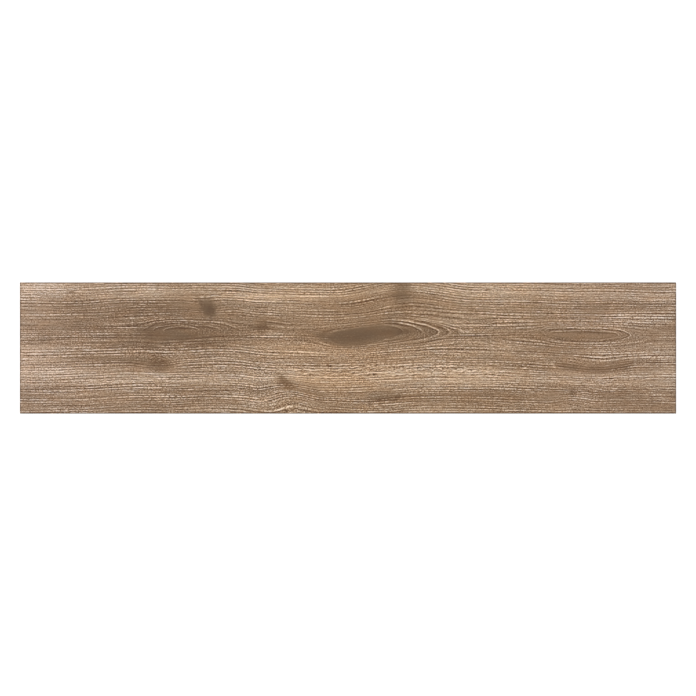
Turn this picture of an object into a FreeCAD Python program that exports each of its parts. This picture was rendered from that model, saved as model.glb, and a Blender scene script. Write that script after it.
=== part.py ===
"""Wood-look porcelain plank tile: one piece, dry-pressed, glazed, fired and ground to size.

It lies on its back with the glazed face up. The origin is the middle of the back, +X runs along
the plank with the grain, and +Z points out of the glazed face.
"""

import FreeCAD, Part
import math
import os

# Overall size of the fired plank, in millimetres
PLANK_LENGTH = 1000.0
PLANK_WIDTH = 200.0
PLANK_THICKNESS = 9.0

# Bevel ground at 45 degrees round the glazed face
ARRIS = 0.8

# Keying pockets that the lower punch presses into the back, with ribs left standing between them
POCKET_PITCH = 20.0
RIB_WIDTH = 3.0
POCKET_DEPTH = 0.7
POCKET_DRAFT_DEG = 45.0
LEAST_MARGIN = 15.0


def ground_blank():
    """The plank before its back is keyed: a slab with the bevel along the four edges of its face."""
    corner = FreeCAD.Vector(-PLANK_LENGTH / 2, -PLANK_WIDTH / 2, 0)
    slab = Part.makeBox(PLANK_LENGTH, PLANK_WIDTH, PLANK_THICKNESS, corner)
    face = max(slab.Faces, key=lambda f: f.CenterOfMass.z)
    return slab.makeChamfer(ARRIS, face.Edges)


def square_wire(side, height):
    """A closed square of that side about the Z axis, at that height."""
    half = side / 2
    corners = [(-half, -half), (half, -half), (half, half), (-half, half)]
    points = [FreeCAD.Vector(x, y, height) for x, y in corners]
    return Part.makePolygon(points + points[:1])


def keying_pocket():
    """One pocket about the Z axis: its mouth is in the back's plane and its drafted walls close inwards."""
    mouth = POCKET_PITCH - RIB_WIDTH
    floor = mouth - 2 * POCKET_DEPTH * math.tan(math.radians(POCKET_DRAFT_DEG))
    return Part.makeLoft([square_wire(mouth, 0), square_wire(floor, POCKET_DEPTH)], True, True)


def pocket_places(span):
    """Pocket centres across a span, as many as leave the plain margin at both ends."""
    count = int((span - 2 * LEAST_MARGIN + RIB_WIDTH) // POCKET_PITCH)
    return [(i - (count - 1) / 2) * POCKET_PITCH for i in range(count)]


def keyed_plank():
    """The finished plank: the ground blank with the grid of pockets cut into its back."""
    pocket = keying_pocket()
    pockets = [
        pocket.translated(FreeCAD.Vector(x, y, 0))
        for x in pocket_places(PLANK_LENGTH)
        for y in pocket_places(PLANK_WIDTH)
    ]
    return ground_blank().cut(Part.makeCompound(pockets))


plank = keyed_plank().Solids[0]
os.makedirs("parts", exist_ok=True)
plank.exportStep("parts/plank_tile.step")
print("plank_tile volume mm3", round(plank.Volume), "valid", plank.isValid(), "faces", len(plank.Faces))
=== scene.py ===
"""Wood-look porcelain plank tile: a matt glazed face printed and embossed as limed brown oak, on a bare
porcelain body with a keyed back. +X runs with the grain and +Z points out of the glazed face.
"""

import bpy
import math
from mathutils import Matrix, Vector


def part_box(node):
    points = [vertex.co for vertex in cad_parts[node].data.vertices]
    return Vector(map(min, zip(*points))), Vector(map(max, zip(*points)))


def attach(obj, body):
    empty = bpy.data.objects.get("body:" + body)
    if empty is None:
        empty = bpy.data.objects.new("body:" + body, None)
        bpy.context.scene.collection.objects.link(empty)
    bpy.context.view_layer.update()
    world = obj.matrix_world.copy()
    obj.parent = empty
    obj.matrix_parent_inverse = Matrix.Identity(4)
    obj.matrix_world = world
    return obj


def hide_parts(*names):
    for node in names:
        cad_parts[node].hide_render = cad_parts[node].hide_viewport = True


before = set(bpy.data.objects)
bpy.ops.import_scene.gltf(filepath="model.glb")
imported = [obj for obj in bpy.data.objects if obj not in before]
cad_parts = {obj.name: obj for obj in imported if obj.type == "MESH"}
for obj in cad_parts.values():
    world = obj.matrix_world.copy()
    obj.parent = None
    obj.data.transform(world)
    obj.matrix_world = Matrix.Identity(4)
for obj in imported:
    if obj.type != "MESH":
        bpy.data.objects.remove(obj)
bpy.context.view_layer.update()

# The plank tile
# One piece of porcelain stoneware. Dry powder is pressed between punches that leave the pores of the grain
# in its face and shallow pockets in its back. It is glazed, printed as limed oak, fired and ground to size.

MM = 0.001
low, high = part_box("plank_tile")
LENGTH, WIDTH, THICKNESS = high - low
# Bevel ground round the face, and height of the edge below it
ARRIS = 0.8 * MM
WALL = THICKNESS - ARRIS
POCKET_PITCH = 20 * MM
POCKETS_ALONG = 48
POCKETS_ACROSS = 8
RIB_WIDTH = 3 * MM
POCKET_DEPTH = 0.7 * MM
# Cells of the face for each pocket of the back: finer across the grain, because pores are long and narrow
FACE_CUTS_ALONG = 6
FACE_CUTS_ACROSS = 35
# Points nearer than this are one point
SAME_POINT = 0.01 * MM


def select_open_edges():
    """Selects the open edges of the mesh that is in edit mode."""
    bpy.ops.mesh.select_mode(type="EDGE")
    bpy.ops.mesh.select_all(action="DESELECT")
    bpy.ops.mesh.select_non_manifold(
        extend=False,
        use_wire=False,
        use_boundary=True,
        use_multi_face=False,
        use_non_contiguous=False,
        use_verts=False,
    )


def new_sheet(name, length, width, height, cells_along, cells_across):
    """A flat grid of cells facing up, left in edit mode with everything selected."""
    bpy.ops.object.select_all(action="DESELECT")
    bpy.ops.mesh.primitive_grid_add(
        x_subdivisions=cells_along,
        y_subdivisions=cells_across,
        size=1,
        enter_editmode=True,
        location=(0, 0, 0),
    )
    bpy.context.object.name = name
    bpy.ops.transform.resize(value=(length, width, 1))
    bpy.ops.transform.translate(value=(0, 0, height))
    return bpy.context.object


# The face is a fine sheet, and its border is pulled out and down to make the bevel
face_length = LENGTH - 2 * ARRIS
face_width = WIDTH - 2 * ARRIS
face = new_sheet(
    "plank_tile_face",
    face_length,
    face_width,
    THICKNESS,
    POCKETS_ALONG * FACE_CUTS_ALONG,
    POCKETS_ACROSS * FACE_CUTS_ACROSS,
)
select_open_edges()
bpy.ops.mesh.extrude_region_move(TRANSFORM_OT_translate={"value": (0, 0, -ARRIS)})
bpy.ops.transform.resize(value=(LENGTH / face_length, WIDTH / face_width, 1))
bpy.ops.object.mode_set(mode="OBJECT")

# The back is a sheet of squares, each sunk to a drafted pocket. The rim and the walls are drawn from it
field_length = POCKETS_ALONG * POCKET_PITCH
field_width = POCKETS_ACROSS * POCKET_PITCH
tile = new_sheet("porcelain_plank", field_length, field_width, 0, POCKETS_ALONG, POCKETS_ACROSS)
bpy.ops.mesh.flip_normals()
bpy.ops.mesh.inset(thickness=RIB_WIDTH / 2, depth=0, use_individual=True)
bpy.ops.mesh.inset(thickness=POCKET_DEPTH, depth=-POCKET_DEPTH, use_individual=True)
select_open_edges()
bpy.ops.mesh.extrude_region_move()
bpy.ops.transform.resize(value=(LENGTH / field_length, WIDTH / field_width, 1))
bpy.ops.mesh.extrude_region_move(TRANSFORM_OT_translate={"value": (0, 0, WALL)})
bpy.ops.object.mode_set(mode="OBJECT")

# The top of the walls is cut as finely as the face, so that the two meet point for point
for axis, cuts in ((0, FACE_CUTS_ALONG), (1, FACE_CUTS_ACROSS)):
    bpy.ops.object.mode_set(mode="EDIT")
    bpy.ops.mesh.select_all(action="DESELECT")
    bpy.ops.object.mode_set(mode="OBJECT")
    for edge in tile.data.edges:
        start, end = (tile.data.vertices[i].co for i in edge.vertices)
        run = end - start
        at_top = min(start.z, end.z) > WALL - ARRIS / 2
        edge.select = at_top and abs(run[axis]) > abs(run[1 - axis])
    bpy.ops.object.mode_set(mode="EDIT")
    bpy.ops.mesh.subdivide(number_cuts=cuts - 1)
    bpy.ops.object.mode_set(mode="OBJECT")

face.select_set(True)
tile.select_set(True)
bpy.context.view_layer.objects.active = tile
bpy.ops.object.join()
bpy.ops.object.mode_set(mode="EDIT")
bpy.ops.mesh.select_all(action="SELECT")
bpy.ops.mesh.remove_doubles(threshold=SAME_POINT)
bpy.ops.mesh.normals_make_consistent(inside=False)
bpy.ops.object.mode_set(mode="OBJECT")
tile.data.name = tile.name

# Points or stops that a new curve or ramp node already has
READY_POINTS = 2


def add_node(tree, kind, inputs=(), points=(), stops=(), **settings):
    """Adds a node with its settings. Its inputs are given in order or by name: a node or a socket is linked,
    and the rest is set. Points shape a curve node and stops colour a ramp node."""
    node = tree.nodes.new(kind)
    for name, value in settings.items():
        setattr(node, name, value)
    sockets = [socket for socket in node.inputs if socket.enabled]
    pairs = inputs.items() if isinstance(inputs, dict) else enumerate(inputs)
    for key, value in pairs:
        socket = node.inputs[key] if isinstance(key, str) else sockets[key]
        if isinstance(value, bpy.types.Node):
            value = next(output for output in value.outputs if output.enabled)
        if isinstance(value, bpy.types.NodeSocket):
            tree.links.new(value, socket)
        else:
            socket.default_value = value
    for index, point in enumerate(points):
        curve = node.mapping.curves[0].points
        if index < READY_POINTS:
            curve[index].location = point
        else:
            curve.new(*point)
    if points:
        node.mapping.update()
    for index, (position, colour) in enumerate(stops):
        ramp = node.color_ramp.elements
        stop = ramp[index] if index < READY_POINTS else ramp.new(position)
        stop.position = position
        stop.color = colour
    return node


# The lie of the grain
# The figure is that of a plain-sawn board. Its places and sizes are millimetres from the middle of the face,
# and every soft edge in it eases in and out.
HALF_LENGTH = LENGTH / MM / 2
HALF_WIDTH = WIDTH / MM / 2
SOFT_STEP = {"interpolation_type": "SMOOTHSTEP", "clamp": False}
# The grain wanders: length, width and reach of its drift
DRIFT = (170, 60, 7)
# A knot pushes the grain aside: its place, half size, tilt in degrees, and how far it lifts the grain
KNOT_PUSH = [
    (84, 92, 110, 70, 0, 11),
    (-88, -73, 54, 36, -14, 10.5),
    (-45, -86, 90, 28, 0, 4),
    (343, -78, 45, 22, 0, 5),
    (-215, 62, 50, 22, -15, -4),
    (-290, -26, 50, 18, 0, -5),
    (-128, 36, 40, 16, 0, 3),
    (-22, 18, 55, 45, 0, -3),
    (62, 22, 60, 45, 0, 3),
    (380, -28, 64, 22, 0, -6),
]
# Where the grain is curly it ripples: place, half size, tilt and share
CURLY = [
    (0, -34, 260, 20, 0, 1.05),
    (190, -38, 150, 30, 0, 0.7),
    (-330, -48, 160, 14, 0, 0.6),
    (410, -58, 170, 40, 0, 0.75),
]
# Length, width and reach of a ripple
RIPPLE = (12, 6, 2.2)


def mottle(tree, place, length, width, depth=1, detail=1, shift=None):
    """A mottle from 0 to 1 at a place, of marks about that long, wide and deep. A shift, in marks, takes it
    from elsewhere."""
    shares = (1 / length, 1 / width, 1 / depth)
    marks = add_node(tree, "ShaderNodeVectorMath", [place, shares], operation="MULTIPLY")
    if shift:
        marks = add_node(tree, "ShaderNodeVectorMath", [marks, shift], operation="ADD")
    return add_node(tree, "ShaderNodeTexNoise", {"Vector": marks, "Scale": 1, "Detail": detail})


def spot_group(tree_kind):
    """A group for that kind of tree: how far inside a soft oval spot a place is, 1 in its core and 0 at its
    rim."""
    group = bpy.data.node_groups.new(tree_kind + "_soft_spot", tree_kind)
    for name in ("Place", "Middle", "Shares"):
        group.interface.new_socket(name, in_out="INPUT", socket_type="NodeSocketVector")
    for name in ("Angle", "Fringe", "Core"):
        group.interface.new_socket(name, in_out="INPUT", socket_type="NodeSocketFloat")
    group.interface.new_socket("Mask", in_out="OUTPUT", socket_type="NodeSocketFloat")
    given = add_node(group, "NodeGroupInput").outputs
    offset = add_node(group, "ShaderNodeVectorMath", [given["Place"], given["Middle"]], operation="SUBTRACT")
    turn = {"Vector": offset, "Angle": given["Angle"]}
    turned = add_node(group, "ShaderNodeVectorRotate", turn, rotation_type="Z_AXIS")
    local = add_node(group, "ShaderNodeVectorMath", [turned, given["Shares"]], operation="MULTIPLY")
    reach = add_node(group, "ShaderNodeVectorMath", [local], operation="LENGTH")
    reach = add_node(group, "ShaderNodeMath", [reach, given["Fringe"]], operation="ADD")
    mask = add_node(group, "ShaderNodeMapRange", [reach, given["Core"], 1, 1, 0], **SOFT_STEP)
    add_node(group, "NodeGroupOutput", [mask])
    return group


def spot(tree, place, oval, fringe=0, core=0):
    """Adds a soft spot to a tree, an oval given by its place, half size and tilt. A fringe frays its rim."""
    x, y, half_length, half_width, tilt = oval
    group = bpy.data.node_groups.get(tree.bl_idname + "_soft_spot") or spot_group(tree.bl_idname)
    values = {
        "Place": place,
        "Middle": (x, y, 0),
        "Shares": (1 / half_length, 1 / half_width, 0),
        "Angle": math.radians(-tilt),
        "Fringe": fringe,
        "Core": core,
    }
    return add_node(tree, tree.bl_idname.replace("Tree", "Group"), values, node_tree=group)


def lie_of_grain(tree, position):
    """Where a position lies on the board, how curly the grain is there, and where it lies once the grain,
    which drifts, ripples and goes round the knots, is laid straight."""
    place = add_node(tree, "ShaderNodeVectorMath", [position, (1 / MM, 1 / MM, 0)], operation="MULTIPLY")
    split = add_node(tree, "ShaderNodeSeparateXYZ", [place])
    along, across = split.outputs["X"], split.outputs["Y"]
    length, width, reach = DRIFT
    drift = mottle(tree, place, length, width, detail=2)
    push = add_node(tree, "ShaderNodeMapRange", [drift, 0, 1, -reach / 2, reach / 2], clamp=False)
    for *oval, lift in KNOT_PUSH:
        knot = spot(tree, place, oval)
        push = add_node(tree, "ShaderNodeMath", [knot, lift, push], operation="MULTIPLY_ADD")
    curly = 0
    for *oval, share in CURLY:
        mask = spot(tree, place, oval)
        curly = add_node(tree, "ShaderNodeMath", [mask, share, curly], operation="MULTIPLY_ADD")
    length, width, reach = RIPPLE
    ripple = mottle(tree, place, length, width)
    ripple = add_node(tree, "ShaderNodeMapRange", [ripple, 0, 1, -reach, reach], clamp=False)
    push = add_node(tree, "ShaderNodeMath", [ripple, curly, push], operation="MULTIPLY_ADD")
    across_grain = add_node(tree, "ShaderNodeMath", [across, push], operation="SUBTRACT")
    return {
        "place": place,
        "along": along,
        "across": across,
        "curly": curly,
        "across_grain": across_grain,
        "straight_place": add_node(tree, "ShaderNodeCombineXYZ", [along, across_grain, 0]),
    }


# The rings
# The saw passed close above the pith three times, and there the rings close into long hearts. HEART_LINE is
# where the pith lies across the board and RING_LIFT how far the nearest ring is from it, at places along it.
HEART_LINE = [
    (-500, 21), (-400, 22), (-330, 25), (-268, 25.5), (-200, 27), (-170, 26), (-130, 22), (-40, 19.5),
    (6, 19), (60, 21.5), (100, 24), (140, 25), (190, 24), (250, 22.5), (300, 21), (360, 19.5), (431, 20),
    (500, 20),
]
RING_LIFT = [
    (-500, 17), (-400, 16.5), (-335, 17), (-310, 15), (-297, 11.2), (-281, 8), (-255, 4.5), (-226, 8),
    (-196, 11.2), (-170, 15), (-140, 17), (-66, 16.5), (-45, 15), (-33, 12.5), (-10, 7), (6, 6),
    (50, 7.5), (70, 9), (84, 12), (100, 14.5), (114, 16.6), (125, 18), (139, 19.7), (155, 21.6),
    (180, 22.8), (200, 22), (230, 17), (268, 14.6), (295, 12), (302, 9.4), (314, 6.6), (335, 4.8),
    (360, 3.5), (395, 5.5), (412, 8.3), (431, 11.8), (460, 15), (500, 17),
]
# Below the heart line the board is opened a little further from the pith
LIFT_BELOW = [
    (-500, 17), (-335, 16.5), (-268, 14), (-196, 15.5), (-140, 17), (-66, 16.5), (-45, 15), (-33, 12.5),
    (6, 6), (50, 8), (84, 12), (114, 16.6), (139, 19.7), (180, 22.5), (200, 22), (230, 17), (268, 14),
    (298, 11.6), (315, 7.6), (335, 6), (360, 5.5), (412, 9), (431, 11.5), (460, 15), (500, 17),
]
# Between which distances from the heart line the lower lift passes into the upper one
LIFT_BLEND = (-8, 1)
# Away from the pith the rings run straight: their lift there, and between which distances they straighten
FAR_LIFT = 17
STRAIGHTEN = (10, 36)
# Steepness of the rings at the pith, which sets how wide a ring shows where the saw ran along it
PITH_SLOPE = 0.15
# How far the mottles on the two sides of the pith are apart
SIDE_APART = 0.8
# A profile's curve has room up to this many times its highest value, so that it can swing past it
SWING_ROOM = 1.5


def curve_points(places, half, top):
    """Places and values about zero, in millimetres and steps of up to top, as the points of a curve node."""
    return [((x + half) / (2 * half), (value + top) / (2 * top)) for x, value in places]


def profile(tree, distance, places, half):
    """A value that changes smoothly with the distance from the middle of the board, through given places."""
    top = max(abs(value) for place, value in places) * SWING_ROOM
    share = add_node(tree, "ShaderNodeMapRange", [distance, -half, half, 0, 1], clamp=False)
    level = add_node(tree, "ShaderNodeFloatCurve", {"Value": share}, points=curve_points(places, half, top))
    return add_node(tree, "ShaderNodeMapRange", [level, 0, 1, -top, top], clamp=False)


def opened_rings(tree, lie):
    """The rings as the saw laid them open: distance from the pith, slope and steepness of the ring there,
    and the place along the board and out from the pith."""
    along = lie["along"]
    heart = profile(tree, along, HEART_LINE, HALF_LENGTH)
    lift_above = profile(tree, along, RING_LIFT, HALF_LENGTH)
    lift_below = profile(tree, along, LIFT_BELOW, HALF_LENGTH)
    offset = add_node(tree, "ShaderNodeMath", [lie["across_grain"], heart], operation="SUBTRACT")
    above = add_node(tree, "ShaderNodeMapRange", [offset, *LIFT_BLEND], **SOFT_STEP)
    lift = add_node(tree, "ShaderNodeMix", [above, lift_below, lift_above], clamp_factor=False)
    far = add_node(tree, "ShaderNodeMath", [offset], operation="ABSOLUTE")
    far = add_node(tree, "ShaderNodeMapRange", [far, *STRAIGHTEN], **SOFT_STEP)
    lift = add_node(tree, "ShaderNodeMix", [far, lift, FAR_LIFT], clamp_factor=False)
    pair = add_node(tree, "ShaderNodeCombineXYZ", [offset, lift, 0])
    distance = add_node(tree, "ShaderNodeVectorMath", [pair], operation="LENGTH")
    slope = add_node(tree, "ShaderNodeMath", [offset, distance], operation="DIVIDE")
    side = add_node(tree, "ShaderNodeMath", [slope, SIDE_APART], operation="MULTIPLY")
    place = add_node(tree, "ShaderNodeCombineXYZ", [along, distance, side])
    steep = add_node(tree, "ShaderNodeMath", [slope, slope], operation="MULTIPLY")
    steep = add_node(tree, "ShaderNodeMapRange", [steep, 0, 1, PITH_SLOPE**2, 1])
    steep = add_node(tree, "ShaderNodeMath", [steep], operation="SQRT")
    return {"distance": distance, "slope": slope, "steep": steep, "place": place}


# The mood of the print
# Its tone in steps of luminance, its warmth and how calm it is, before any streak is drawn on it. Tone has
# a profile across the board and one along it, and warmth has one along it.
TONE_ACROSS = [
    (-100, 2), (-84, -4), (-65, -5), (-56, 8), (-45, 19), (-36, 14), (-24, 0), (-11, 7), (5, 0), (24, -6),
    (50, -4), (68, -1), (80, 15), (100, 14),
]
TONE_ALONG = [
    (-500, 14), (-440, 4), (-330, -4), (-230, -5), (-120, 2), (-60, 2), (20, -2), (170, 6), (330, 0),
    (500, 4),
]
WARMTH_ALONG = [
    (-500, -0.4), (-380, -0.2), (-150, 0.2), (0, 0.9), (120, 0.5), (300, 0.3), (420, 0), (500, -1.4),
]
# The print is rosier towards its ends
ROSE_ALONG = [
    (-500, 1.1), (-380, 0.6), (-220, 0.2), (-60, 0), (120, 0), (280, 0.2), (380, 0.6), (500, 0.7),
]
# Rims of hearts and smudges fray along the grain: length and width of a fringe, and its share of the rim
FRAY = (40, 3.2, 0.7)
# Rims of hearts and knots crumble: length and width of a crumb, and its share of the rim
CRUMBS = (3, 2.2, 1.3)
# Hearts, dark and calm inside one ring: place along the board, half length, the ring's distance from the
# pith, the softness of its rim, tone, warmth, and how far they calm the streaks
HEARTS = [
    (10, 80, 14, 5.5, -23, -1.8, 0.5),
    (8, 60, 18, 6, 0, 0, 0.25),
    (367, 70, 8.5, 3, -1, -0.3, 0.6),
]
# Where a heart has faded out along the board, in half lengths
HEART_END = 1.5
# Reach of the crumbs at the rim of a heart, and their share of the tone inside it
HEART_CRUMBS = 5.5
HEART_MOTTLE = 1
# Smudges: place, half size, tilt, tone, warmth, and how far they calm the streaks
SMUDGES = [
    (82, 90, 28, 48, 0, -23, -1.4, 0.4),
    (8, 16, 66, 20, 5, -10, -0.8, 0.1),
    (72, 25, 60, 13, 3, -10, 0.2, 0.15),
    (-48, 19, 44, 17, 0, -6, 0.4, 0),
    (118, 25, 60, 10, 0, -13, -0.6, 0),
    (150, 20, 100, 22, 0, -8, -0.4, 0),
    (-275, 18, 64, 22, 0, -9, -0.9, 0.6),
    (-225, 14, 60, 14, 0, -8, -0.3, 0.3),
    (-332, -21, 95, 15, -3, -21, 0.2, 0.5),
    (-395, 28, 80, 18, 0, -4, -0.3, 0.3),
    (376, -31, 80, 18, 0, -9, 0.3, 0.3),
    (-280, 38, 240, 62, 0, -16, -0.2, 0),
    (20, 72, 85, 28, 8, -7, 0.6, 0.4),
    (100, 58, 170, 26, 0, -8, 0, 0),
    (180, -73, 150, 15, 0, -14, 0.2, 0.25),
    (310, -2, 90, 22, 0, -14, 0, 0),
    (275, -30, 110, 20, 0, -13, 0, 0),
    (340, -91, 75, 13, 0, 18, 0, 0),
    (450, -84, 110, 26, 0, -9, 0.2, 0.4),
    (379, 56, 60, 14, 0, -5, -0.6, 0.6),
    (390, 32, 130, 12, 0, 15, 0, 0),
    (450, 96, 110, 14, 0, -12, 0, 0),
    (-75, -2, 130, 22, 0, 8, 1.4, 0),
    (-10, -46, 130, 22, 0, 4, 1.9, 0),
    (20, -16, 100, 26, 0, 2, 1.2, 0),
    (90, -20, 150, 26, 0, 6, 0.3, 0),
    (190, -42, 110, 26, 0, 9, 0.6, 0),
    (-480, -23, 85, 32, 0, 14, 0.4, 0),
    (-465, 92, 80, 24, 0, 17, -0.3, 0),
    (-100, 80, 150, 14, 0, 9, 1, 0),
    (-310, 88, 90, 15, 0, 11, 0, 0),
    (240, 90, 80, 16, 0, 8, 0.6, 0),
    (-140, -88, 110, 20, 0, 9, 0, 0),
    (-222, -94, 80, 12, 0, 19, 0, 0),
    (-350, -72, 140, 22, 0, 9, 0.4, 0),
    (-490, -80, 60, 26, 0, -9, -0.4, 0),
    (15, -60, 105, 12, 0, 14, 0.6, 0),
    (-245, 0, 150, 15, 0, -15, 0, 0),
    (-420, 72, 70, 20, 0, -15, 0, 0),
    (-440, 31, 45, 11, 0, 11, 0, 0),
    (0, -99.6, 1500, 2.6, 0, -18, 0, 0),
    (122, 80, 60, 26, 0, -7, 0, 0),
    (80, -36, 44, 32, 0, 9, 0, 0),
    (-100, -29, 70, 14, 0, 9, 0, 0),
    (425, 47, 120, 24, 0, 9, 0, 0),
    (482, 0, 50, 20, 0, 10, 0, 0),
    (432, -33, 54, 16, 0, -17, 0, 0),
    (25, 0, 60, 10, 0, -9, 0, 0),
    (482, -60, 50, 14, 0, 10, 0, 0),
    (135, -92, 90, 11, 0, 13, 0, 0),
    (-140, -62, 60, 14, 0, -8, 0, 0),
    (-460, -52, 70, 14, 0, -8, 0, 0),
]
# Knots: place, half size, tilt, tone, warmth, and how far they calm the streaks
KNOTS = [
    (-213, 62, 21, 16, -72, -22, -1.5, 0.65),
    (-209, 57, 12, 9, -66, -12, -0.5, 0.2),
    (-226, 72, 17, 6, -58, -16, -0.4, 0.1),
    (-131, 32, 13, 14, 0, -22, 0.2, 0.35),
    (-121, 37, 10, 10, 0, -15, -0.8, 0.15),
    (-116, 23.5, 11, 2.6, -8, 24, 0, 0),
    (-287, -25, 23, 10.5, 0, -24, 0.2, 0.1),
    (-290, -18, 32, 2.6, -2, -26, 0, 0),
    (-287, -34, 17, 2.2, 2, -17, 0, 0),
    (-256, -27, 12, 8, 0, 14, 0, 0),
    (-290, -39, 44, 2.6, 0, 19, 0, 0),
    (-96, -52, 23, 12, -42, -28, 0.2, 0.4),
    (-100, -47, 10, 7, -46, -16, -0.4, 0.1),
    (-62, -65, 40, 8, -16, -13, 0.3, 0.2),
    (82, 104, 22, 24, 0, -10, -0.3, 0.1),
    (84, 67, 20, 2.6, -6, -19, 0, 0),
    (83, 76, 16, 2.4, 4, -14, 0, 0),
    (55, -72, 40, 10, 0, -12, -1.4, 0.2),
    (76, -74, 5, 9, -30, -19, 0, 0),
    (336, -28, 30, 6.5, -16, -16, 0, 0.2),
    (381, -35, 38, 7.5, 0, -16, 0, 0.2),
    (424, -27, 28, 6, 21, -14, 0, 0.2),
    (313, -26, 9, 2.6, -52, 34, 0, 0),
    (437, -20, 10, 3, 84, 19, -0.6, 0),
    (314, -72, 26, 11, 0, 5, -0.2, 0.45),
    (342, -70, 8, 6.5, -25, -20, -0.8, 0.2),
]
# Share of the way out from its middle over which a knot has its full tone
KNOT_CORE = 0.3
# Places where the streaks are weaker, or stronger where the share is below zero: place, half size and share
QUIET = [
    (-460, 62, 80, 40, 0.35),
    (-395, 30, 90, 30, -0.35),
    (-240, 66, 95, 50, 0.4),
    (-320, -8, 70, 16, -0.45),
    (-160, -10, 130, 18, -0.55),
    (-150, -55, 120, 75, -0.6),
    (20, -30, 240, 16, -0.5),
    (20, 40, 80, 22, 0.45),
    (170, 22, 65, 22, -0.9),
    (470, 22, 45, 13, 0.5),
    (245, 6, 50, 20, -0.6),
    (252, 84, 80, 24, -0.8),
    (330, -8, 70, 22, 0.55),
    (450, 48, 90, 34, -0.6),
    (135, 70, 100, 30, 0.45),
    (300, -36, 120, 20, 0.3),
    (455, -38, 70, 22, 0.4),
    (390, 82, 70, 28, 0.35),
    (405, -82, 55, 22, 0.35),
    (-320, -76, 45, 18, 0.3),
    (305, -91, 60, 14, 0.35),
    (-415, -92, 70, 16, -0.8),
]
# Single cream and dark lines: place, half length, half width, tilt and tone
LINES = [
    (-421, 84.5, 12, 2.3, 0, -80),
    (-340, 86.3, 32, 1.9, 0, -46),
    (56, -79, 30, 2.1, 0, -34),
    (-70, 78.5, 150, 1.7, 0, 46),
    (-120, 72, 110, 1.3, 0, 26),
    (250, 84, 190, 1.6, -1, 30),
    (-330, -50, 210, 1.8, 1, 34),
    (-130, 2, 160, 1.3, 0, 26),
    (-190, -6, 170, 1.3, 0, 26),
    (-60, -45, 120, 1.8, 0, 24),
    (90, -40, 130, 2, 0, 28),
    (210, -36, 90, 2, 0, 28),
    (450, 9, 60, 1.5, 0, 30),
    (430, -90, 70, 1.4, 0, 26),
    (-420, -2, 110, 1.4, 0, 24),
]
# Patches of cooler and warmer print: length, width and warmth
HUE_PATCHES = (28, 12, 2.4)
# Painted shade: the print is darkened in a band along the ground bevel, standing in for the bevel's shade.
# Width of the band and its tone
EDGE_SHADE_BAND = (3, -40)
# Soft bands that follow the rings: length, width and weight
BANDS = [(260, 9, 16), (420, 26, 10)]
# They fade where the print is calm: calm where that starts and where it ends, and their share there
BAND_FADE = (0.4, 0.8, 0.2)


def shaded(tree, mood, mask, shift):
    """The mood of the print, its tone, warmth and calm, with a shift added as far as the mask goes."""
    shifted = []
    for so_far, by in zip(mood, shift):
        if by:
            so_far = add_node(tree, "ShaderNodeMath", [mask, by, so_far], operation="MULTIPLY_ADD")
        shifted.append(so_far)
    return shifted


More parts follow.
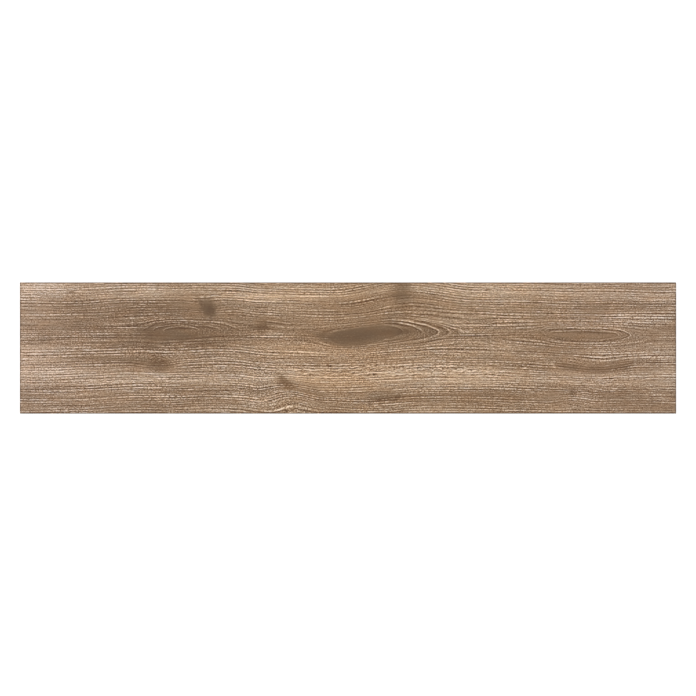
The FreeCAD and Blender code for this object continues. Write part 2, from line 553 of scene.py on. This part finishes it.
def mood_of_print(tree, lie, rings):
    """Tone, warmth and calm of the print without its streaks."""
    place, along, straight_place = lie["place"], lie["along"], lie["straight_place"]
    tone = profile(tree, lie["across_grain"], TONE_ACROSS, HALF_WIDTH)
    tone_along = profile(tree, along, TONE_ALONG, HALF_LENGTH)
    tone = add_node(tree, "ShaderNodeMath", [tone, tone_along], operation="ADD")
    mood = [tone, profile(tree, along, WARMTH_ALONG, HALF_LENGTH), 0]

    length, width, share = FRAY
    fringe = mottle(tree, rings["place"], length, width)
    fringe = add_node(tree, "ShaderNodeMapRange", [fringe, 0, 1, -share / 2, share / 2], clamp=False)
    length, width, share = CRUMBS
    crumbs = mottle(tree, place, length, width, detail=2)
    crumbs = add_node(tree, "ShaderNodeMapRange", [crumbs, 0, 1, -share / 2, share / 2], clamp=False)
    crumbled = add_node(tree, "ShaderNodeMath", [crumbs, HEART_MOTTLE, 1], operation="MULTIPLY_ADD")
    for x, half_length, radius, soft, *shift in HEARTS:
        away = add_node(tree, "ShaderNodeMath", [along, x], operation="SUBTRACT")
        away = add_node(tree, "ShaderNodeMath", [away], operation="ABSOLUTE")
        end = half_length * HEART_END
        reach = add_node(tree, "ShaderNodeMapRange", [away, half_length, end, 1, 0], **SOFT_STEP)
        rim = add_node(tree, "ShaderNodeMath", [fringe, radius, rings["distance"]], operation="MULTIPLY_ADD")
        rim = add_node(tree, "ShaderNodeMath", [crumbs, HEART_CRUMBS, rim], operation="MULTIPLY_ADD")
        inside = add_node(tree, "ShaderNodeMapRange", [rim, radius - soft, radius + soft, 1, 0], **SOFT_STEP)
        core = add_node(tree, "ShaderNodeMath", [inside, reach], operation="MULTIPLY")
        core = add_node(tree, "ShaderNodeMath", [core, crumbled], operation="MULTIPLY")
        mood = shaded(tree, mood, core, shift)
    for *oval, shade, warm, still in SMUDGES:
        mood = shaded(tree, mood, spot(tree, place, oval, fringe), (shade, warm, still))
    for *oval, shade, warm, still in KNOTS:
        mood = shaded(tree, mood, spot(tree, place, oval, crumbs, KNOT_CORE), (shade, warm, still))
    for *oval, still in QUIET:
        mood = shaded(tree, mood, spot(tree, place, (*oval, 0)), (0, 0, still))
    for *oval, shade in LINES:
        mood = shaded(tree, mood, spot(tree, straight_place, oval, fringe), (shade, 0, 0))
    tone, warmth, calm = mood

    length, width, share = HUE_PATCHES
    hue = mottle(tree, straight_place, length, width)
    hue = add_node(tree, "ShaderNodeMapRange", [hue, 0, 1, -share, share])
    warmth = add_node(tree, "ShaderNodeMath", [warmth, hue], operation="ADD")
    # Painted shade along the edges of the face: the print darkens towards the bevel, in steps of luminance
    shade_band_width, shade_band_tone = EDGE_SHADE_BAND
    far_along = add_node(tree, "ShaderNodeMath", [along], operation="ABSOLUTE")
    far_across = add_node(tree, "ShaderNodeMath", [lie["across"]], operation="ABSOLUTE")
    end_gap = add_node(tree, "ShaderNodeMath", [HALF_LENGTH, far_along], operation="SUBTRACT")
    side_gap = add_node(tree, "ShaderNodeMath", [HALF_WIDTH, far_across], operation="SUBTRACT")
    gap = add_node(tree, "ShaderNodeMath", [end_gap, side_gap], operation="MINIMUM")
    painted_shade_at_edge = add_node(tree, "ShaderNodeMapRange", [gap, ARRIS / MM, shade_band_width, shade_band_tone, 0])
    tone = add_node(tree, "ShaderNodeMath", [tone, painted_shade_at_edge], operation="ADD")
    fade_start, fade_end, faint = BAND_FADE
    banded = add_node(tree, "ShaderNodeMapRange", [calm, fade_start, fade_end, 1, faint])
    for length, width, weight in BANDS:
        band = mottle(tree, rings["place"], length, width)
        band = add_node(tree, "ShaderNodeMapRange", [band, 0, 1, -weight, weight])
        tone = add_node(tree, "ShaderNodeMath", [band, banded, tone], operation="MULTIPLY_ADD")
    return tone, warmth, calm


# The pores
# Light streaks with their shadows beside them, in steps of luminance: length along the grain, width across
# it, step to the shadow, crispness and tone. Real pores are finer: these are as coarse as they need to show.
STREAKS = [(140, 1.2, 1.2, 0.15, 9), (60, 1.1, 1.1, 0.15, 9), (12, 1, 1, 0.15, 16)]
# Curly grain has short ones of its own
CURL_STREAK = (8, 1.7, 1.7, 0.13, 26)
# Fineness of the mottle that streaks are drawn from
STREAK_DETAIL = 0.5
# Streaks follow the rings where these stand steep: steepness where that starts and where all do, and the
# share that does where the saw ran along a ring
RING_SHARE = (0.3, 0.95, 0.1)
# The longer streaks also run straight where the rings are flat
STRAIGHT_STREAKS = STREAKS[:2]
# They don't where the rings close: share of closed grain along the board
CLOSED_GRAIN = [
    (-500, 0), (-320, 0), (-285, 0.6), (-250, 1), (-195, 0.9), (-165, 0.2), (-140, 0), (-40, 0),
    (20, 0.2), (60, 0.8), (90, 1), (135, 1), (165, 0.3), (220, 0.1), (250, 0.2), (310, 0.9), (367, 1.1),
    (431, 1.3), (460, 0.2), (500, 0),
]
# Rows of pores: their spacing, the length, width and turns of their wander, the length and width of their
# swell, and tone
PORE_ROWS = [(4.4, 130, 7, 0.8, 65, 3, 35), (3.5, 105, 6, 0.8, 52, 3, 59)]
# The swell is shifted away from the wander, and a row fades out and is full at these parts of its mottle
SWELL_SHIFT = (3, 7, 11)
SWELL = (0.25, 0.75)
# Flecks break the streaks up: length and width, and weight
FLECK = (4, 2.5)
FLECK_WEIGHT = 2.7
# A fine speckle lies over all: length, width and weight
SPECKLE = (2.1, 1, 130)
# Patches where the streaks are stronger or weaker: length, width and share
PATCHES = (110, 24, 0.9)
# Calm of the print and strength of its streaks, where it is liveliest and where it is stillest
LIVELIEST = (-1, 2)
STILLEST = (0.9, 0.1)


def pore_streaks(tree, lie, rings, flecks, calm):
    """The streaks of the print: pores and rows of pores, broken up by flecks and weaker where it is calm."""
    straight_place = lie["straight_place"]
    closed = profile(tree, lie["along"], CLOSED_GRAIN, HALF_LENGTH)
    start, end, least = RING_SHARE
    bent = add_node(tree, "ShaderNodeMapRange", [rings["steep"], start, end, least, 1], **SOFT_STEP)
    straight = add_node(tree, "ShaderNodeMath", [1, bent], operation="SUBTRACT")
    open_grain = add_node(tree, "ShaderNodeMapRange", [closed, 0, 1, 1, 0])
    straight = add_node(tree, "ShaderNodeMath", [straight, open_grain], operation="MULTIPLY")

    streaks = 0
    *curl_shape, curl_tone = CURL_STREAK
    curl_shade = add_node(tree, "ShaderNodeMath", [lie["curly"], curl_tone], operation="MULTIPLY")
    layers = [(rings["place"], bent, row) for row in STREAKS + [(*curl_shape, curl_shade)]]
    layers += [(straight_place, straight, row) for row in STRAIGHT_STREAKS]
    for place, share, (length, width, step, crisp, shade) in layers:
        beside = (0, step / width, 0)
        pore = mottle(tree, place, length, width, detail=STREAK_DETAIL)
        shadow = mottle(tree, place, length, width, detail=STREAK_DETAIL, shift=beside)
        line = add_node(tree, "ShaderNodeMath", [pore, shadow], operation="SUBTRACT")
        line = add_node(tree, "ShaderNodeMapRange", [line, -crisp, crisp, -1, 1], **SOFT_STEP)
        line = add_node(tree, "ShaderNodeMath", [line, share], operation="MULTIPLY")
        streaks = add_node(tree, "ShaderNodeMath", [line, shade, streaks], operation="MULTIPLY_ADD")

    layers = [(rings["place"], bent, row) for row in PORE_ROWS]
    layers += [(straight_place, straight, row) for row in PORE_ROWS]
    for place, share, (apart, length, width, turns, swell_length, swell_width, shade) in layers:
        across_rows = add_node(tree, "ShaderNodeSeparateXYZ", [place]).outputs["Y"]
        wander = mottle(tree, place, length, width)
        turn = add_node(tree, "ShaderNodeMath", [wander, turns * apart], operation="MULTIPLY")
        turn = add_node(tree, "ShaderNodeMath", [turn, across_rows], operation="ADD")
        turn = add_node(tree, "ShaderNodeMath", [turn, math.tau / apart], operation="MULTIPLY")
        line = add_node(tree, "ShaderNodeMath", [turn], operation="SINE")
        swell = mottle(tree, place, swell_length, swell_width, shift=SWELL_SHIFT)
        swell = add_node(tree, "ShaderNodeMapRange", [swell, *SWELL, 0, 1])
        line = add_node(tree, "ShaderNodeMath", [line, swell], operation="MULTIPLY")
        line = add_node(tree, "ShaderNodeMath", [line, share], operation="MULTIPLY")
        streaks = add_node(tree, "ShaderNodeMath", [line, shade, streaks], operation="MULTIPLY_ADD")

    broken = add_node(tree, "ShaderNodeMapRange", [flecks, 0, 1, 1 - FLECK_WEIGHT, 1 + FLECK_WEIGHT])
    streaks = add_node(tree, "ShaderNodeMath", [streaks, broken], operation="MULTIPLY")
    length, width, weight = SPECKLE
    speck = mottle(tree, straight_place, length, width)
    speck = add_node(tree, "ShaderNodeMapRange", [speck, 0, 1, -weight, weight])
    streaks = add_node(tree, "ShaderNodeMath", [streaks, speck], operation="ADD")
    length, width, share = PATCHES
    patch = mottle(tree, straight_place, length, width)
    patch = add_node(tree, "ShaderNodeMapRange", [patch, 0, 1, 1 - share, 1 + share])
    streaks = add_node(tree, "ShaderNodeMath", [streaks, patch], operation="MULTIPLY")
    live_calm, live_share = LIVELIEST
    still_calm, still_share = STILLEST
    strength = add_node(tree, "ShaderNodeMapRange", [calm, live_calm, still_calm, live_share, still_share])
    return add_node(tree, "ShaderNodeMath", [streaks, strength], operation="MULTIPLY")


# Light outlines of single rings near the hearts
# Each has its shadow inside it: distance from the pith, the part of the board where it shows, and its tone
# above and below the heart line.
ARCS = [
    (8, -284, -222, 56, 8),
    (11.2, -300, -192, 64, 20),
    (15.6, -314, -168, 46, 0),
    (13.4, -290, -180, 26, 8),
    (12, 66, 90, 34, 0),
    (16.6, 62, 120, 56, -10),
    (19.7, 66, 145, 70, 36),
    (21.6, 126, 161, 66, 26),
    (22.8, 105, 187, 78, -12),
    (24.2, 110, 200, 50, 18),
    (8.3, 308, 418, 54, 26),
    (11.8, 304, 437, 78, 44),
    (14.5, 250, 448, 28, 12),
]
ARC_THICKNESS = 1.2
# Step from an outline to its shadow, and the shadow's share of the tone
ARC_SHADOW_STEP = 2.4
ARC_SHADOW = 0.65
# Half the length over which an outline fades at its ends
ARC_FADE = 7
# Slope of the ring within which the upper tone passes into the lower one
ARC_TURN = 0.3
# Outlines wander: length, width and reach
ARC_WANDER = (22, 6, 1.7)
# How far the flecks break the outlines up
ARC_FLECKS = 1.2


def with_outlines(tree, streaks, lie, rings, flecks):
    """The streaks with the outlines of single rings added."""
    length, width, reach = ARC_WANDER
    wander = mottle(tree, rings["place"], length, width)
    wander = add_node(tree, "ShaderNodeMapRange", [wander, 0, 1, -reach, reach])
    wander = add_node(tree, "ShaderNodeMath", [wander, rings["steep"]], operation="MULTIPLY")
    wavy = add_node(tree, "ShaderNodeMath", [rings["distance"], wander], operation="ADD")
    upper = add_node(tree, "ShaderNodeMapRange", [rings["slope"], -ARC_TURN, ARC_TURN, 0, 1], **SOFT_STEP)
    broken = add_node(tree, "ShaderNodeMapRange", [flecks, 0, 1, 1 - ARC_FLECKS, 1 + ARC_FLECKS])
    for level, start, end, above, below in ARCS:
        step = add_node(tree, "ShaderNodeMath", [wavy, level], operation="SUBTRACT")
        step = add_node(tree, "ShaderNodeMath", [step, rings["steep"]], operation="DIVIDE")
        away = add_node(tree, "ShaderNodeMath", [step], operation="ABSOLUTE")
        light = add_node(tree, "ShaderNodeMapRange", [away, 0, ARC_THICKNESS, 1, 0], **SOFT_STEP)
        inner = add_node(tree, "ShaderNodeMath", [step, ARC_SHADOW_STEP], operation="ADD")
        inner = add_node(tree, "ShaderNodeMath", [inner], operation="ABSOLUTE")
        dark = add_node(tree, "ShaderNodeMapRange", [inner, 0, ARC_SHADOW_STEP, ARC_SHADOW, 0], **SOFT_STEP)
        line = add_node(tree, "ShaderNodeMath", [light, dark], operation="SUBTRACT")
        middle = (start + end) / 2
        half = (end - start) / 2
        off_middle = add_node(tree, "ShaderNodeMath", [lie["along"], middle], operation="SUBTRACT")
        off_middle = add_node(tree, "ShaderNodeMath", [off_middle], operation="ABSOLUTE")
        shown = add_node(tree, "ShaderNodeMapRange", [off_middle, half - ARC_FADE, half + ARC_FADE, 1, 0])
        shade = add_node(tree, "ShaderNodeMapRange", [upper, 0, 1, below, above])
        line = add_node(tree, "ShaderNodeMath", [line, shown], operation="MULTIPLY")
        line = add_node(tree, "ShaderNodeMath", [line, broken], operation="MULTIPLY")
        streaks = add_node(tree, "ShaderNodeMath", [line, shade, streaks], operation="MULTIPLY_ADD")
    return streaks


def grain(tree, position):
    """Adds the board's figure to a tree, and gives the tone of the print, its warmth, streaks and rose."""
    lie = lie_of_grain(tree, position)
    rings = opened_rings(tree, lie)
    tone, warmth, calm = mood_of_print(tree, lie, rings)
    flecks = mottle(tree, lie["straight_place"], *FLECK)
    streaks = pore_streaks(tree, lie, rings, flecks, calm)
    streaks = with_outlines(tree, streaks, lie, rings, flecks)
    rose = profile(tree, lie["along"], ROSE_ALONG, HALF_LENGTH)
    return {"tone": tone, "warmth": warmth, "streaks": streaks, "rose": rose}


# Matt glaze printed as limed brown oak
# A dull satin skin: soft highlights, duller in the pores. Luminance of the print runs from PRINT_DARK to
# PRINT_LIGHT about MEAN_TONE, in steps of 0 to 255, and each step of it has its colour.
PRINT = [
    (45, "#4f3520"), (75, "#62462e"), (96, "#71563c"), (121, "#8c7155"), (135, "#9a7e62"), (150, "#a98e72"),
    (174, "#c2a78b"), (190, "#d3ba9e"), (225, "#f0dbc5"),
]
PRINT_DARK = 40
PRINT_LIGHT = 230
MEAN_TONE = 129.6
# Tints of the print, as factors on red, green, blue and alpha, and the warmth at which one is full
COOL_TINT = (0.90, 1.0, 1.12, 1)
WARM_TINT = (1.10, 1.0, 0.88, 1)
ROSE_TINT = (1.01, 0.995, 1.055, 1)
FULL_WARMTH = 3
# Specular level, half the usual one, because the skin is matt
GLAZE_SHINE = 0.25
# Roughness of the glaze on the wood and in the pores, and the tone of a full pore
SMOOTH_GLAZE = 0.5
PORE_GLAZE = 0.68
FULL_PORE = 40
# Peel of the fired glaze: its size and height
PEEL_SIZE = 0.9 * MM
PEEL_HEIGHT = 0.02 * MM


def linear(hex_colour):
    """An sRGB colour such as #a08060 as linear red, green, blue and alpha."""
    shades = [int(hex_colour[i : i + 2], 16) / 255 for i in (1, 3, 5)]
    return [s / 12.92 if s <= 0.04045 else ((s + 0.055) / 1.055) ** 2.4 for s in shades] + [1]


glaze = bpy.data.materials.new("printed_matt_glaze")
glaze.use_nodes = True
tree = glaze.node_tree
skin = tree.nodes["Principled BSDF"]
at = add_node(tree, "ShaderNodeTexCoord").outputs["Object"]
figure = grain(tree, at)
tone = add_node(tree, "ShaderNodeMath", [figure["tone"], figure["streaks"]], operation="ADD")
tone = add_node(tree, "ShaderNodeMath", [tone, MEAN_TONE], operation="ADD")
print_share = add_node(tree, "ShaderNodeMapRange", [tone, PRINT_DARK, PRINT_LIGHT, 0, 1])
stops = [((level - PRINT_DARK) / (PRINT_LIGHT - PRINT_DARK), linear(colour)) for level, colour in PRINT]
ink = add_node(tree, "ShaderNodeValToRGB", [print_share], stops=stops)
warm_share = add_node(tree, "ShaderNodeMapRange", [figure["warmth"], -FULL_WARMTH, FULL_WARMTH, 0, 1])
tint = add_node(tree, "ShaderNodeMix", [warm_share, COOL_TINT, WARM_TINT], data_type="RGBA")
colour = add_node(tree, "ShaderNodeMix", [1, ink, tint], data_type="RGBA", blend_type="MULTIPLY")
rosy = [figure["rose"], colour, ROSE_TINT]
colour = add_node(tree, "ShaderNodeMix", rosy, data_type="RGBA", blend_type="MULTIPLY")
tree.links.new(next(s for s in colour.outputs if s.enabled), skin.inputs["Base Color"])
skin.inputs["Specular IOR Level"].default_value = GLAZE_SHINE
dullness = [figure["streaks"], -FULL_PORE, FULL_PORE, SMOOTH_GLAZE, PORE_GLAZE]
dull = add_node(tree, "ShaderNodeMapRange", dullness)
tree.links.new(dull.outputs["Result"], skin.inputs["Roughness"])
peel = mottle(tree, at, PEEL_SIZE, PEEL_SIZE, PEEL_SIZE, detail=2)
peel_bump = add_node(tree, "ShaderNodeBump", {"Height": peel, "Strength": 1, "Distance": PEEL_HEIGHT})
tree.links.new(peel_bump.outputs["Normal"], skin.inputs["Normal"])

# Relief of the pressed pores: light streaks are the limed pores, sunk into the face
PORE_DEPTH = 0.3 * MM
# Tone of the streaks at the edge of a pore
PORE_EDGE = -10
# Edges that turn further than this stay sharp
SHARP_TURN = math.radians(35)
relief = bpy.data.node_groups.new("pressed_grain_relief", "GeometryNodeTree")
relief.interface.new_socket("Geometry", in_out="INPUT", socket_type="NodeSocketGeometry")
relief.interface.new_socket("Geometry", in_out="OUTPUT", socket_type="NodeSocketGeometry")
relief_in = add_node(relief, "NodeGroupInput")
relief_at = add_node(relief, "GeometryNodeInputPosition")
pores = grain(relief, relief_at)["streaks"]
sunk = add_node(relief, "ShaderNodeMapRange", [pores, PORE_EDGE, FULL_PORE, 0, -PORE_DEPTH])
height = add_node(relief, "ShaderNodeSeparateXYZ", [relief_at]).outputs["Z"]
on_face = add_node(relief, "ShaderNodeMath", [height, THICKNESS - ARRIS / 2], operation="GREATER_THAN")
drop = add_node(relief, "ShaderNodeMath", [sunk, on_face], operation="MULTIPLY")
shift = add_node(relief, "ShaderNodeCombineXYZ", [0, 0, drop])
pressed = add_node(relief, "GeometryNodeSetPosition", {"Geometry": relief_in, "Offset": shift})
add_node(relief, "NodeGroupOutput", [pressed])
modifier = tile.modifiers.new("pressed_grain", "NODES")
modifier.node_group = relief
bpy.context.view_layer.objects.active = tile
bpy.ops.object.modifier_apply(modifier=modifier.name)
bpy.ops.object.select_all(action="DESELECT")
tile.select_set(True)
bpy.ops.object.shade_smooth_by_angle(angle=SHARP_TURN)

# Bare porcelain body
# Fired stoneware without glaze, dull as biscuit: a fine salt-and-pepper grit, wheel marks along the ground
# edges, and a pale dusting of kiln wash left on the ribs of the back.
BODY = [(0.25, "#4d3c2e"), (0.45, "#6f5b49"), (0.6, "#7d6956"), (0.78, "#9c8975")]
KILN_WASH = "#b9ab99"
# Roughness of the body as fired, and where it is ground
BISCUIT = 0.88
GROUND = 0.62
# Grit of the body, drawn coarser than the real one so that it shows: its size and how far it stands out
GRIT = 0.8 * MM
GRIT_HEIGHT = 0.05 * MM
# Clouds in the body: their size, the part of the mottle that shows, and how far they shade it
CLOUD = 16 * MM
CLOUD_RANGE = (0.3, 0.7)
CLOUD_SHADE = 0.07
# Marks of the wheel: size, depth, the part of the mottle that shows, and how far they shade the body
WHEEL_MARK_LENGTH = 45 * MM
WHEEL_MARK_WIDTH = 0.35 * MM
WHEEL_MARK_DEPTH = 0.03 * MM
WHEEL_MARK_RANGE = (0.25, 0.75)
WHEEL_MARK_SHADE = 0.05
# Patches of kiln wash: size, how far the grit breaks them up, the part of the mottle that shows, their least
# and most cover, how high up from the ribs the wash lies, and its share in the pockets
WASH_PATCH = 30 * MM
WASH_GRIT = 0.4
WASH_RANGE = (0.45, 0.95)
WASH_COVER = (0.25, 0.85)
WASH_HEIGHT = 0.1 * MM
POCKET_WASH = 0.12
# What points down more than this is the back, and the rest of the bare body is ground
DOWNWARD = -0.5
body = bpy.data.materials.new("bare_porcelain")
body.use_nodes = True
tree = body.node_tree
skin = tree.nodes["Principled BSDF"]
skin.inputs["Specular IOR Level"].default_value = GLAZE_SHINE
at = add_node(tree, "ShaderNodeTexCoord").outputs["Object"]
split = add_node(tree, "ShaderNodeSeparateXYZ", [at])
grit = mottle(tree, at, GRIT, GRIT, GRIT, detail=2)
cloud = mottle(tree, at, CLOUD, CLOUD, CLOUD, detail=3)
cloud = add_node(tree, "ShaderNodeMapRange", [cloud, *CLOUD_RANGE, -CLOUD_SHADE, CLOUD_SHADE])

# Wheel marks run along the edge, on the walls and the bevel
facing = add_node(tree, "ShaderNodeNewGeometry").outputs["Normal"]
upward = add_node(tree, "ShaderNodeSeparateXYZ", [facing]).outputs["Z"]
ground = add_node(tree, "ShaderNodeMath", [upward, DOWNWARD], operation="GREATER_THAN")
run = add_node(tree, "ShaderNodeMath", [split.outputs["X"], split.outputs["Y"]], operation="ADD")
mark_place = add_node(tree, "ShaderNodeCombineXYZ", [run, split.outputs["Z"], 0])
mark = mottle(tree, mark_place, WHEEL_MARK_LENGTH, WHEEL_MARK_WIDTH, detail=2)
mark = add_node(tree, "ShaderNodeMapRange", [mark, *WHEEL_MARK_RANGE, -1, 1])
mark = add_node(tree, "ShaderNodeMath", [mark, ground], operation="MULTIPLY")

shade = add_node(tree, "ShaderNodeMath", [grit, cloud], operation="ADD")
shade = add_node(tree, "ShaderNodeMath", [mark, WHEEL_MARK_SHADE, shade], operation="MULTIPLY_ADD")
stops = [(position, linear(colour)) for position, colour in BODY]
stone = add_node(tree, "ShaderNodeValToRGB", [shade], stops=stops)
wash = mottle(tree, at, WASH_PATCH, WASH_PATCH, WASH_PATCH, detail=3)
wash = add_node(tree, "ShaderNodeMath", [grit, WASH_GRIT, wash], operation="MULTIPLY_ADD")
wash = add_node(tree, "ShaderNodeMapRange", [wash, *WASH_RANGE, *WASH_COVER])
on_ribs = add_node(tree, "ShaderNodeMapRange", [split.outputs["Z"], 0, WASH_HEIGHT, 1, POCKET_WASH])
on_back = add_node(tree, "ShaderNodeMath", [upward, DOWNWARD], operation="LESS_THAN")
wash = add_node(tree, "ShaderNodeMath", [wash, on_ribs], operation="MULTIPLY")
wash = add_node(tree, "ShaderNodeMath", [wash, on_back], operation="MULTIPLY")
biscuit = add_node(tree, "ShaderNodeMix", [wash, stone, linear(KILN_WASH)], data_type="RGBA")
tree.links.new(next(s for s in biscuit.outputs if s.enabled), skin.inputs["Base Color"])
dull = add_node(tree, "ShaderNodeMapRange", [ground, 0, 1, BISCUIT, GROUND])
tree.links.new(dull.outputs["Result"], skin.inputs["Roughness"])
grit_bump = add_node(tree, "ShaderNodeBump", {"Height": grit, "Strength": 1, "Distance": GRIT_HEIGHT})
marks = {"Height": mark, "Normal": grit_bump, "Strength": 1, "Distance": WHEEL_MARK_DEPTH}
mark_bump = add_node(tree, "ShaderNodeBump", marks)
tree.links.new(mark_bump.outputs["Normal"], skin.inputs["Normal"])

# The face is what points up more than this, above the walls. Everything else is bare
UPWARD = 0.8
tile.data.materials.clear()
tile.data.materials.append(glaze)
tile.data.materials.append(body)
for polygon in tile.data.polygons:
    on_top = polygon.center.z > WALL and polygon.normal.z > UPWARD
    polygon.material_index = 0 if on_top else 1

# The map that the finish is drawn on gives most of its height to the face, for the fine lines across the
# grain. Its strips, as corner and size, are the face, the back, the two long edges and the two ends
FACE_STRIP = (0, 0.375, 1, 0.625)
BACK_STRIP = (0, 0.065, 1, 0.27)
LONG_EDGE_STRIPS = ((0, 0.004, 1, 0.026), (0, 0.034, 1, 0.026))
END_STRIPS = ((0.01, 0.342, 0.47, 0.026), (0.52, 0.342, 0.47, 0.026))
# What points up or down less than this is an edge
LEVEL = 0.3
bake_map = tile.data.uv_layers.new(name="OFBake")
for polygon in tile.data.polygons:
    side = polygon.normal
    for corner in polygon.loop_indices:
        x, y, z = tile.data.vertices[tile.data.loops[corner].vertex_index].co
        along, across, up = x / LENGTH + 0.5, y / WIDTH + 0.5, z / THICKNESS
        if abs(side.z) > LEVEL:
            strip, share = (FACE_STRIP if side.z > 0 else BACK_STRIP), (along, across)
        elif abs(side.y) > abs(side.x):
            strip, share = LONG_EDGE_STRIPS[side.y > 0], (along, up)
        else:
            strip, share = END_STRIPS[side.x > 0], (across, up)
        left, bottom, width, height = strip
        bake_map.data[corner].uv = (left + share[0] * width, bottom + share[1] * height)

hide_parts("plank_tile")
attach(tile, "root")

# The studio
# A white floor in white air under two soft lamps, and a camera straight above the middle of the face. Its
# sizes and places are in metres.
FLOOR_SIZE = 14
FLOOR_GREY = "#c8c8c8"
WHITE = linear("#ffffff")
# What the camera and reflections see is lifted to white: glow of the floor, and strength of the air
FLOOR_GLOW = 0.74
WHITE_AIR = 1
# Strength of the air as light on the tile
AIR_LIGHT = 0.45


def looked_at(tree):
    """1 on the rays by which the studio is seen: from the camera, in gloss and through glass."""
    rays = add_node(tree, "ShaderNodeLightPath").outputs
    seen = [rays["Is Camera Ray"], rays["Is Glossy Ray"]]
    seen = add_node(tree, "ShaderNodeMath", seen, operation="MAXIMUM")
    return add_node(tree, "ShaderNodeMath", [seen, rays["Is Transmission Ray"]], operation="MAXIMUM")


bpy.ops.object.select_all(action="DESELECT")
bpy.ops.mesh.primitive_plane_add(size=FLOOR_SIZE, location=(0, 0, 0))
floor = bpy.context.object
floor.name = "studio_floor"
paper = bpy.data.materials.new("white_floor")
paper.use_nodes = True
tree = paper.node_tree
tree.nodes.clear()
matt = add_node(tree, "ShaderNodeBsdfDiffuse", {"Color": linear(FLOOR_GREY)})
glow = add_node(tree, "ShaderNodeMath", [looked_at(tree), FLOOR_GLOW], operation="MULTIPLY")
lift = add_node(tree, "ShaderNodeEmission", {"Color": WHITE, "Strength": glow})
both = add_node(tree, "ShaderNodeAddShader", [matt, lift])
add_node(tree, "ShaderNodeOutputMaterial", {"Surface": both})
floor.data.materials.append(paper)

world = bpy.data.worlds.new("studio_air")
bpy.context.scene.world = world
world.use_nodes = True
tree = world.node_tree
tree.nodes.clear()
strength = add_node(tree, "ShaderNodeMapRange", [looked_at(tree), 0, 1, AIR_LIGHT, WHITE_AIR])
air = add_node(tree, "ShaderNodeBackground", {"Color": WHITE, "Strength": strength})
add_node(tree, "ShaderNodeOutputWorld", {"Surface": air})

# Name, place, size and power of each soft lamp, all aimed at the middle of the tile
LAMPS = [("key_lamp", (-1.2, 0.9, 2.6), 1.6, 40), ("fill_lamp", (1.5, -0.8, 2.2), 1.6, 17)]
for name, place, size, power in LAMPS:
    lamp = bpy.data.lights.new(name, "AREA")
    lamp.size = size
    lamp.energy = power
    holder = bpy.data.objects.new(name, lamp)
    bpy.context.scene.collection.objects.link(holder)
    holder.location = place
    holder.rotation_euler = (-holder.location).to_track_quat("-Z", "Y").to_euler()

# Lens and sensor in millimetres. The face fills as many pixels of the picture's width as in the photo
LENS = 100
SENSOR = 36
PICTURE_PIXELS = 696
FACE_PIXELS = 656.57
frame_width = LENGTH * PICTURE_PIXELS / FACE_PIXELS
lens = bpy.data.cameras.new("camera")
lens.lens = LENS
lens.sensor_width = SENSOR
camera = bpy.data.objects.new("camera", lens)
bpy.context.scene.collection.objects.link(camera)
camera.location = (0, 0, THICKNESS + frame_width * LENS / SENSOR)
bpy.context.scene.camera = camera
bpy.context.scene.view_settings.view_transform = "Standard"
